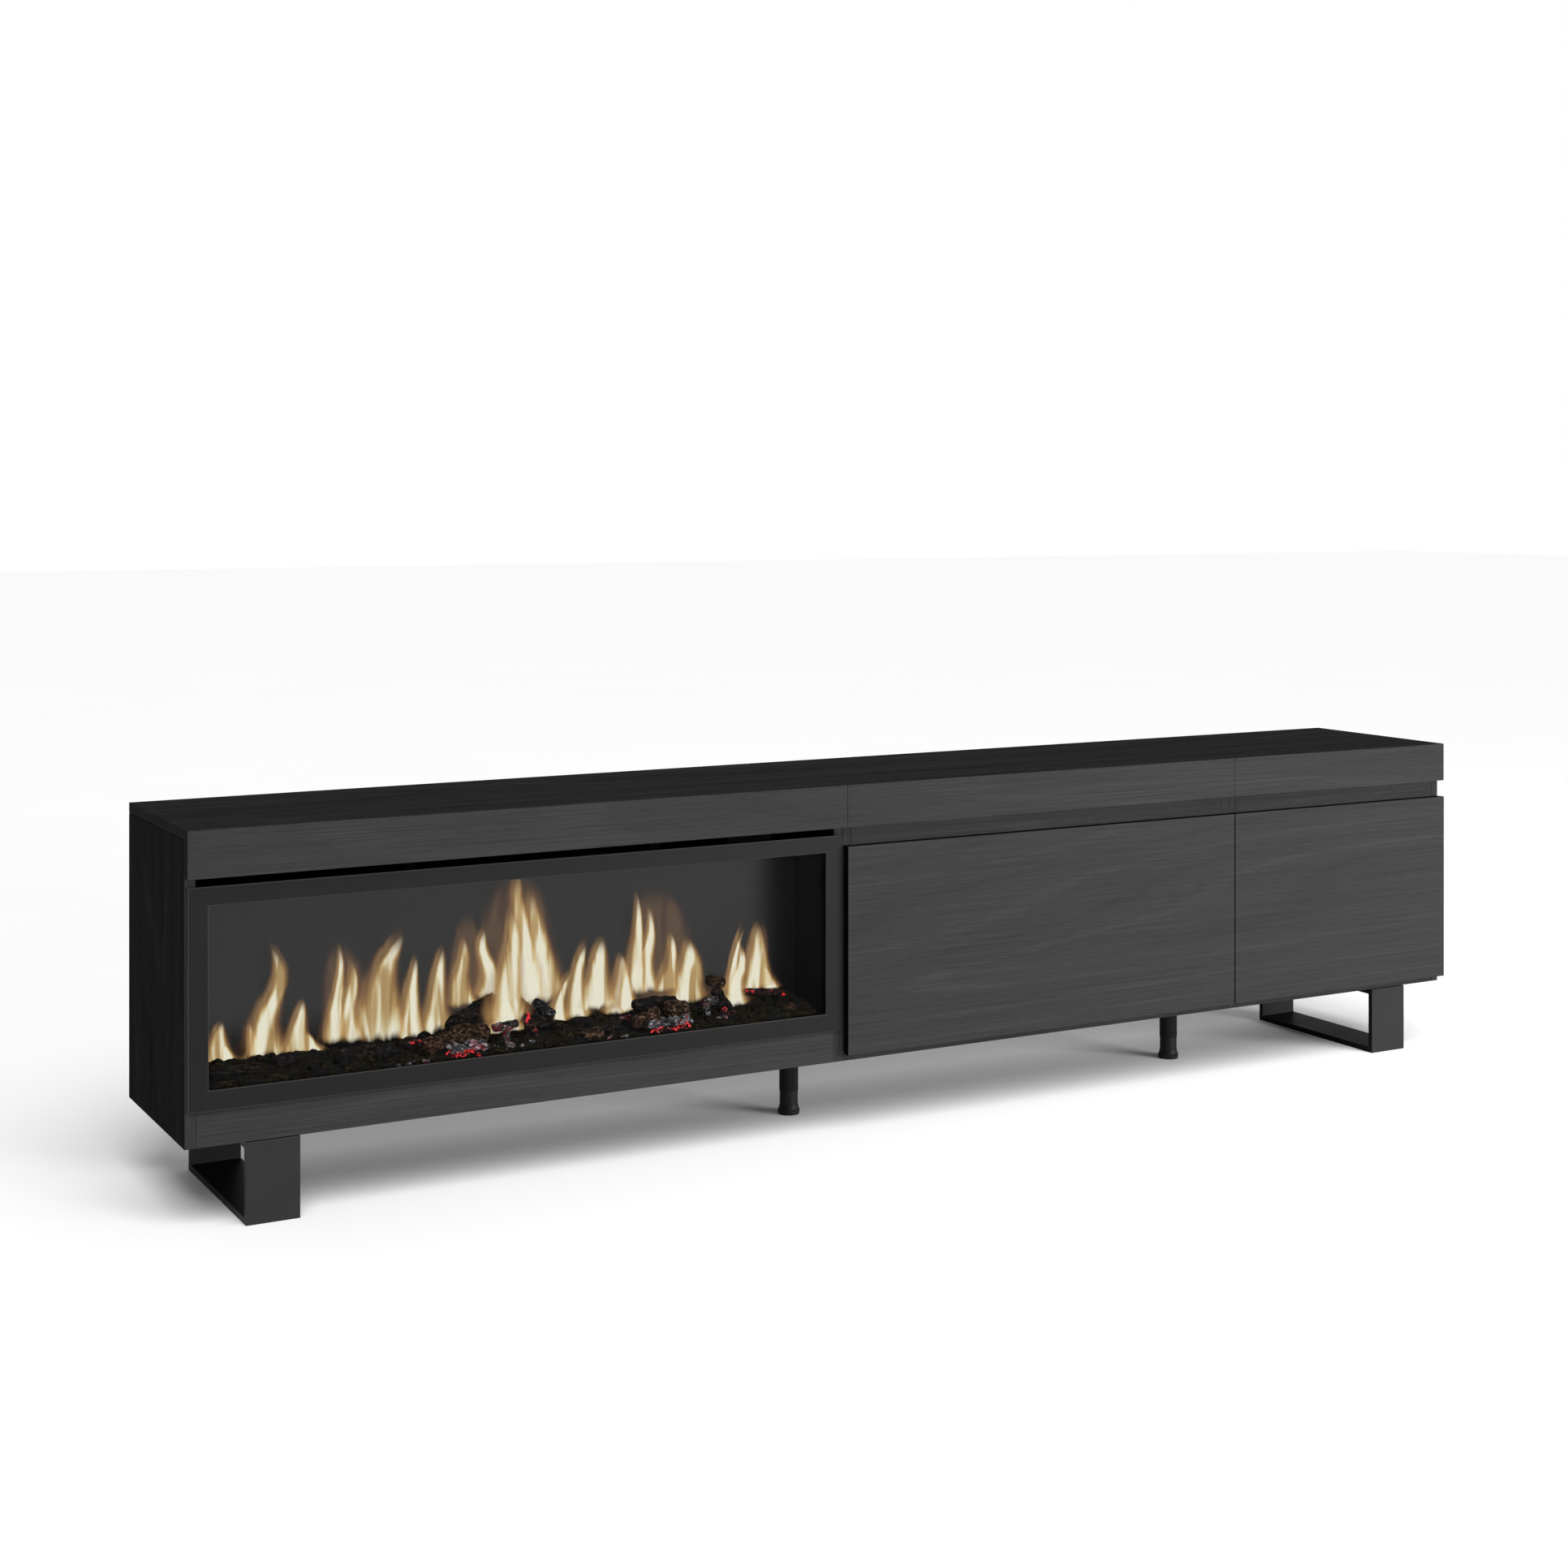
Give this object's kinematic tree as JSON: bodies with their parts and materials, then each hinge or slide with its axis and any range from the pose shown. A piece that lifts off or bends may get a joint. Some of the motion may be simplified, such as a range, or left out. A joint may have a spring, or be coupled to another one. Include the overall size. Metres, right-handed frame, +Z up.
{
  "type": "electric fireplace lowboard",
  "caption": "Long black wood lowboard on metal legs, with a glazed electric fireplace on the left, a drop-down flap in the middle and a hinged door on the right.",
  "frame": {"origin": "on the floor under the middle of the lowboard", "axes": "+X along the length to the right, +Y to the back (the wall), +Z up; the fronts face -Y"},
  "size_m": [2.3998, 0.35, 0.575],
  "materials": {
    "black_wood_front": "matt open grain, stained black",
    "black_wood_side": "matt open grain, stained black",
    "back_sheet": "matt hardboard",
    "satin_black_metal": "satin powder coat",
    "black_trim": "smooth satin",
    "galvanised_sheet": "matt heat-proof paint",
    "plated_steel": "plated",
    "front_glass": "clear, polished",
    "flame_screen": "smoked, half see-through",
    "coal": "rough, charred",
    "bark": "rough, painted",
    "light_bar": "frosted",
    "black_plastic": "fine texture",
    "button_grey": "satin"
  },
  "bodies": {
    "cabinet": {"control_panel": "black_plastic", "cord_gland": "black_plastic", "door_hinge_lower": "plated_steel", "door_hinge_upper": "plated_steel", "door_module_back": "back_sheet", "door_module_bottom": "black_wood_front", "door_module_fascia": "black_wood_front", "door_module_rail": "black_wood_front", "door_module_shelf": "black_wood_side", "door_module_side_left": "black_wood_side", "door_module_side_right": "black_wood_side", "door_module_top": "black_wood_front", "ember_bed": "coal", "fan_motor": "black_plastic", "fire_module_back": "back_sheet", "fire_module_bottom": "black_wood_front", "fire_module_fascia": "black_wood_front", "fire_module_rail": "black_wood_front", "fire_module_side_left": "black_wood_side", "fire_module_side_right": "black_wood_side", "fire_module_top": "black_wood_front", "firebox": "galvanised_sheet", "firebox_plinth": "black_wood_side", "flame_screen": "flame_screen", "flap_hinge_left": "plated_steel", "flap_hinge_right": "plated_steel", "flap_module_back": "back_sheet", "flap_module_bottom": "black_wood_front", "flap_module_fascia": "black_wood_front", "flap_module_rail": "black_wood_front", "flap_module_side_left": "black_wood_side", "flap_module_side_right": "black_wood_side", "flap_module_top": "black_wood_front", "front_glass": "front_glass", "heater_housing": "galvanised_sheet", "heater_outlet": "black_plastic", "heating_element": "plated_steel", "light_bar": "light_bar", "log_cross": "bark", "log_front_left": "bark", "log_large": "bark", "log_leaning": "bark", "log_right": "bark", "round_leg_left": "satin_black_metal", "round_leg_right": "satin_black_metal", "sled_leg_left": "satin_black_metal", "sled_leg_right": "satin_black_metal", "spinner_motor": "black_plastic", "switch_bezel": "black_plastic", "trim_frame": "black_trim"},
    "flap": {"flap": "black_wood_front"},
    "door": {"door": "black_wood_front"},
    "left_leveller": {"leveller_left": "black_plastic"},
    "right_leveller": {"leveller_right": "black_plastic"},
    "spinner": {"flame_spinner": "plated_steel"},
    "fan": {"fan_wheel": "plated_steel"},
    "rocker": {"power_rocker": "button_grey"},
    "flame_key": {"button_flame": "button_grey"},
    "heat_key": {"button_heat": "button_grey"}
  },
  "joints": [
    {"name": "flap_drop", "type": "hinge", "parent": "cabinet", "child": "flap", "pos_m": [0.285, -0.167, 0.14], "axis": [1, 0, 0], "range_deg": [0, 90]},
    {"name": "door_swing", "type": "hinge", "parent": "cabinet", "child": "door", "pos_m": [1.192, -0.167, 0.3], "axis": [0, 0, 1], "range_deg": [0, 95]},
    {"name": "left_foot_screw", "type": "slide", "parent": "cabinet", "child": "left_leveller", "axis": [0, 0, -1], "range_m": [0, 0.015]},
    {"name": "right_foot_screw", "type": "slide", "parent": "cabinet", "child": "right_leveller", "axis": [0, 0, -1], "range_m": [0, 0.015]},
    {"name": "spinner_turn", "type": "hinge", "parent": "cabinet", "child": "spinner", "pos_m": [-0.66, 0.001, 0.2243], "axis": [1, 0, 0], "continuous": true},
    {"name": "fan_turn", "type": "hinge", "parent": "cabinet", "child": "fan", "pos_m": [-0.66, -0.0688, 0.526], "axis": [1, 0, 0], "continuous": true},
    {"name": "rocker_tip", "type": "hinge", "parent": "cabinet", "child": "rocker", "pos_m": [-0.26545, 0.0718, 0.2403], "axis": [-1, 0, 0], "range_deg": [0, 14]},
    {"name": "flame_key_press", "type": "slide", "parent": "cabinet", "child": "flame_key", "axis": [0, 1, 0], "range_m": [0, 0.0015], "stiffness_N_per_m": 300},
    {"name": "heat_key_press", "type": "slide", "parent": "cabinet", "child": "heat_key", "axis": [0, 1, 0], "range_m": [0, 0.0015], "stiffness_N_per_m": 300}
  ]
}
